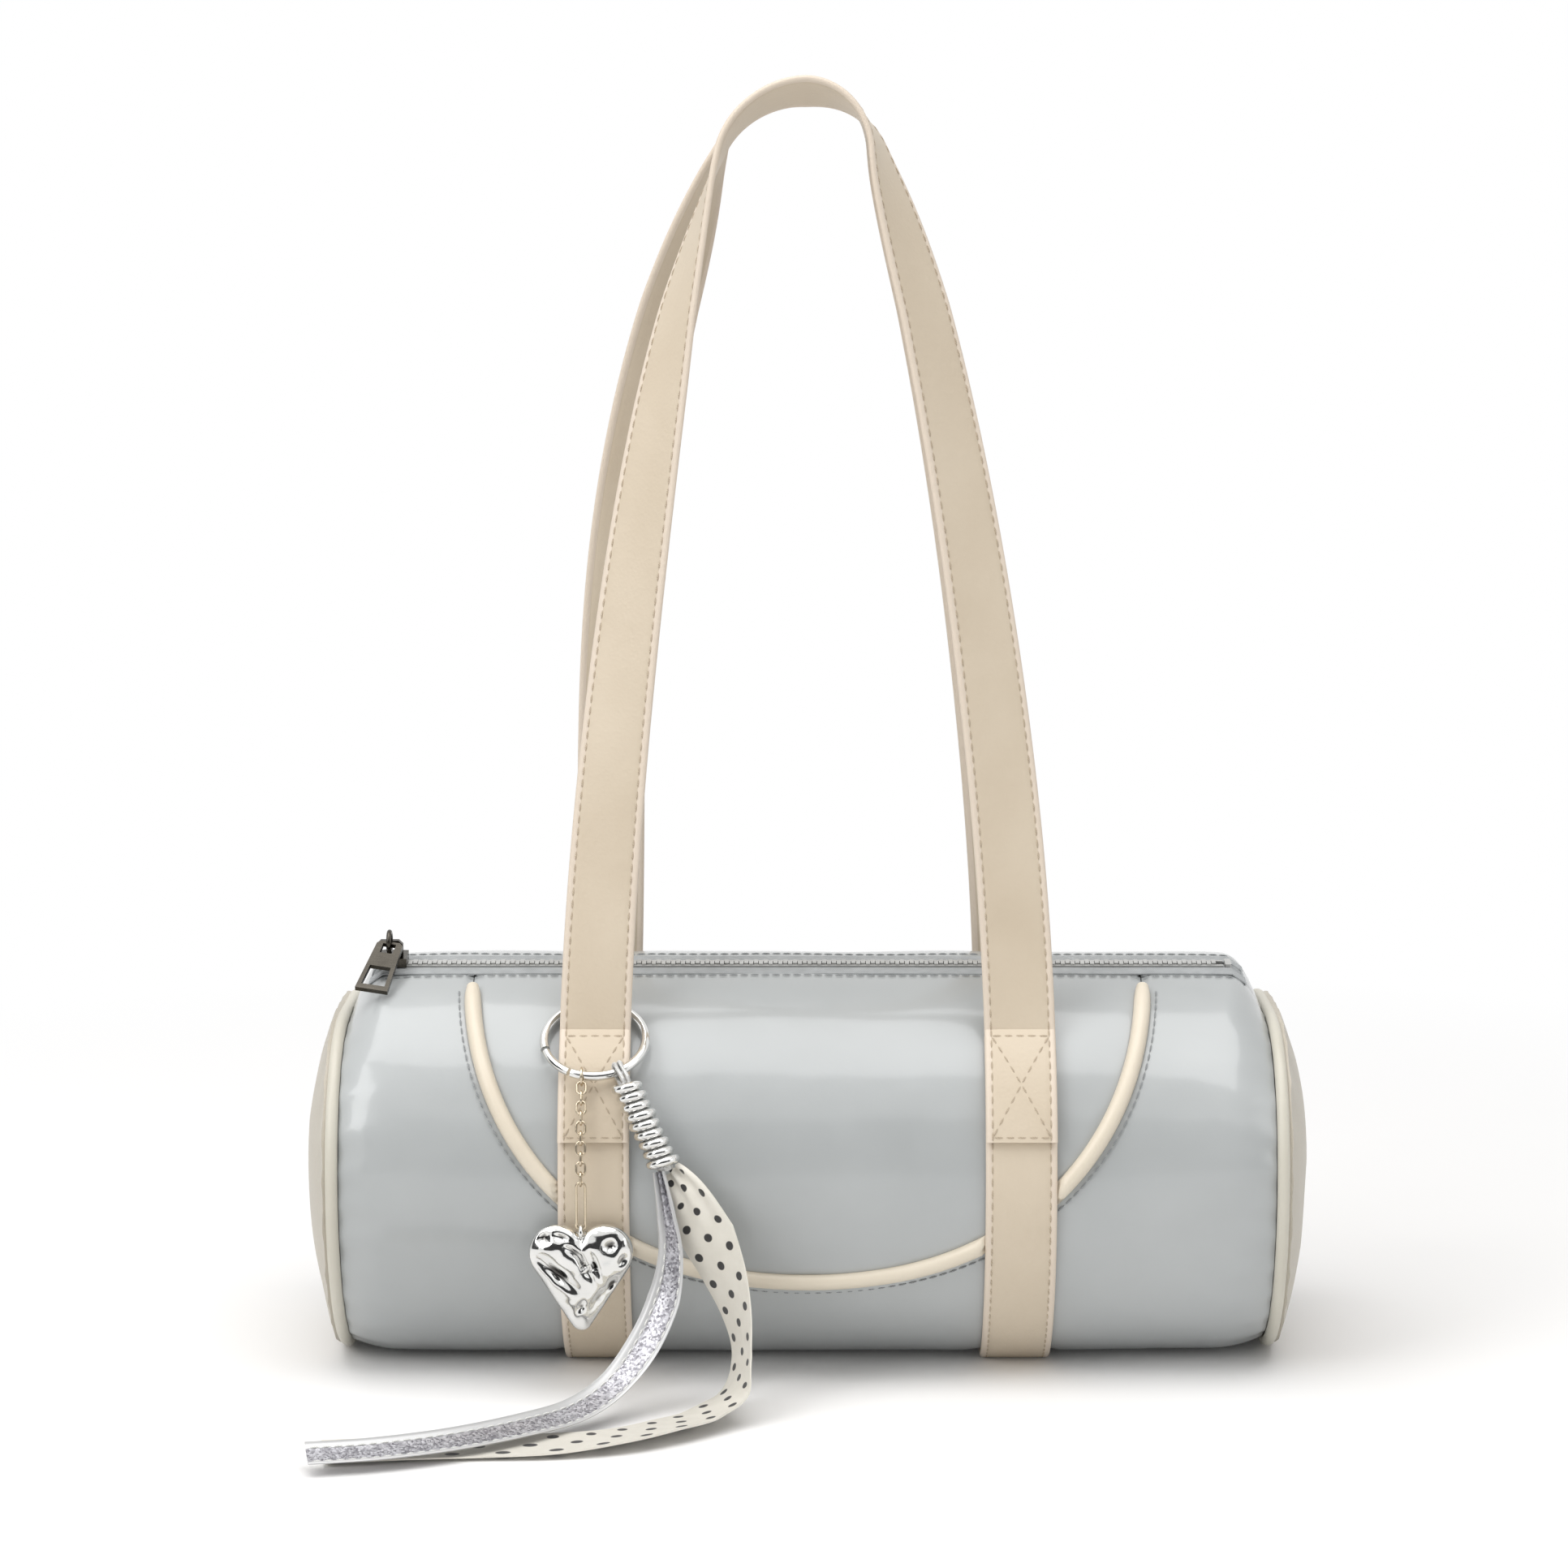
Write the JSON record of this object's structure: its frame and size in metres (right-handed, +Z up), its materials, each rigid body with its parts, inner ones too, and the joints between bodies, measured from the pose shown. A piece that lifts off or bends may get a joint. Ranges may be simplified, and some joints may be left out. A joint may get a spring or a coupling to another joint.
{
  "type": "barrel bag",
  "caption": "Small barrel bag in pale grey patent with cream straps, long handles, a top zip, and a ring with a heart pendant and a ribbon tassel.",
  "frame": {"origin": "on the floor under the middle of the barrel, in the middle of the flat base", "axes": "+X along the barrel to the right as seen from the front, -Y towards the front panel, +Z up"},
  "size_m": [0.2884, 0.1998, 0.3651],
  "materials": {
    "patent": "glossy patent coating, pale cool grey",
    "trim": "smooth cream, satin",
    "strap": "smooth cream, stitched edges",
    "lining": "plain woven cotton",
    "zip_tape": "woven tape",
    "zip_teeth": "polished",
    "gunmetal": "dark plated, polished",
    "bright_metal": "polished silver colour",
    "cord": "braided cord",
    "silver_cloth": "metallic ribbon with glitter",
    "dotted_cloth": "cream ribbon with black dots"
  },
  "bodies": {
    "bag": {"barrel_shell": "patent", "front_panel": "patent", "panel_piping": "trim", "lining": "lining", "left_end_panel": "trim", "right_end_panel": "trim", "left_end_piping": "trim", "right_end_piping": "trim", "front_zip_tape": "zip_tape", "back_zip_tape": "zip_tape", "front_zip_teeth": "zip_teeth", "back_zip_teeth": "zip_teeth", "zip_stops": "zip_teeth", "left_band": "strap", "right_band": "strap", "front_handle_ends": "strap", "back_handle_ends": "strap"},
    "slider": {"zip_slider": "gunmetal"},
    "pull_link": {"zip_pull_link": "gunmetal"},
    "pull_tab": {"zip_pull_tab": "gunmetal"},
    "front_handle_loop": {"front_handle": "strap"},
    "back_handle_loop": {"back_handle": "strap"},
    "ring": {"key_ring": "bright_metal"},
    "gate": {"ring_gate": "bright_metal"},
    "chain": {"charm_chain": "bright_metal", "chain_end_link": "bright_metal"},
    "heart": {"heart_charm": "bright_metal"},
    "tassel": {"tassel_loop": "cord", "tassel_core": "cord", "tassel_coil": "bright_metal", "silver_ribbon": "silver_cloth", "dotted_ribbon": "dotted_cloth"}
  },
  "joints": [
    {"name": "zip_slide", "type": "slide", "parent": "bag", "child": "slider", "axis": [1, 0, 0], "range_m": [0, 0.235]},
    {"name": "link_swing", "type": "hinge", "parent": "slider", "child": "pull_link", "pos_m": [-0.12, -0.01008, 0.11916], "axis": [-1, 0, 0], "range_deg": [0, 80]},
    {"name": "tab_swing", "type": "hinge", "parent": "pull_link", "child": "pull_tab", "pos_m": [-0.12, -0.01102, 0.11931], "axis": [-1, 0, 0], "range_deg": [0, 75]},
    {"name": "front_handle_swing", "type": "hinge", "parent": "bag", "child": "front_handle_loop", "pos_m": [0, -0.04343, 0.10058], "axis": [1, 0, 0], "range_deg": [0, 100]},
    {"name": "back_handle_swing", "type": "hinge", "parent": "bag", "child": "back_handle_loop", "pos_m": [0, 0.04343, 0.10058], "axis": [-1, 0, 0], "range_deg": [0, 100]},
    {"name": "ring_swing", "type": "hinge", "parent": "bag", "child": "ring", "pos_m": [-0.0595, -0.03337, 0.10542], "axis": [-1, 0, 0], "range_deg": [0, 40]},
    {"name": "gate_open", "type": "hinge", "parent": "ring", "child": "gate", "pos_m": [-0.07322, -0.0483, 0.09559], "axis": [0, -0.5501, 0.8351], "range_deg": [0, 8], "stiffness_Nm_per_rad": 0.01},
    {"name": "chain_swing", "type": "hinge", "parent": "ring", "child": "chain", "pos_m": [-0.06269, -0.05678, 0.09], "axis": [-0.9744, 0.1879, 0.1237], "range_deg": [0, 35]},
    {"name": "heart_swing", "type": "hinge", "parent": "chain", "child": "heart", "pos_m": [-0.06269, -0.0661, 0.0483], "axis": [-1, 0, 0], "range_deg": [0, 45]},
    {"name": "tassel_swing", "type": "hinge", "parent": "ring", "child": "tassel", "pos_m": [-0.0524, -0.0555, 0.09085], "axis": [-0.866, -0.4176, -0.275], "range_deg": [0, 40]}
  ]
}
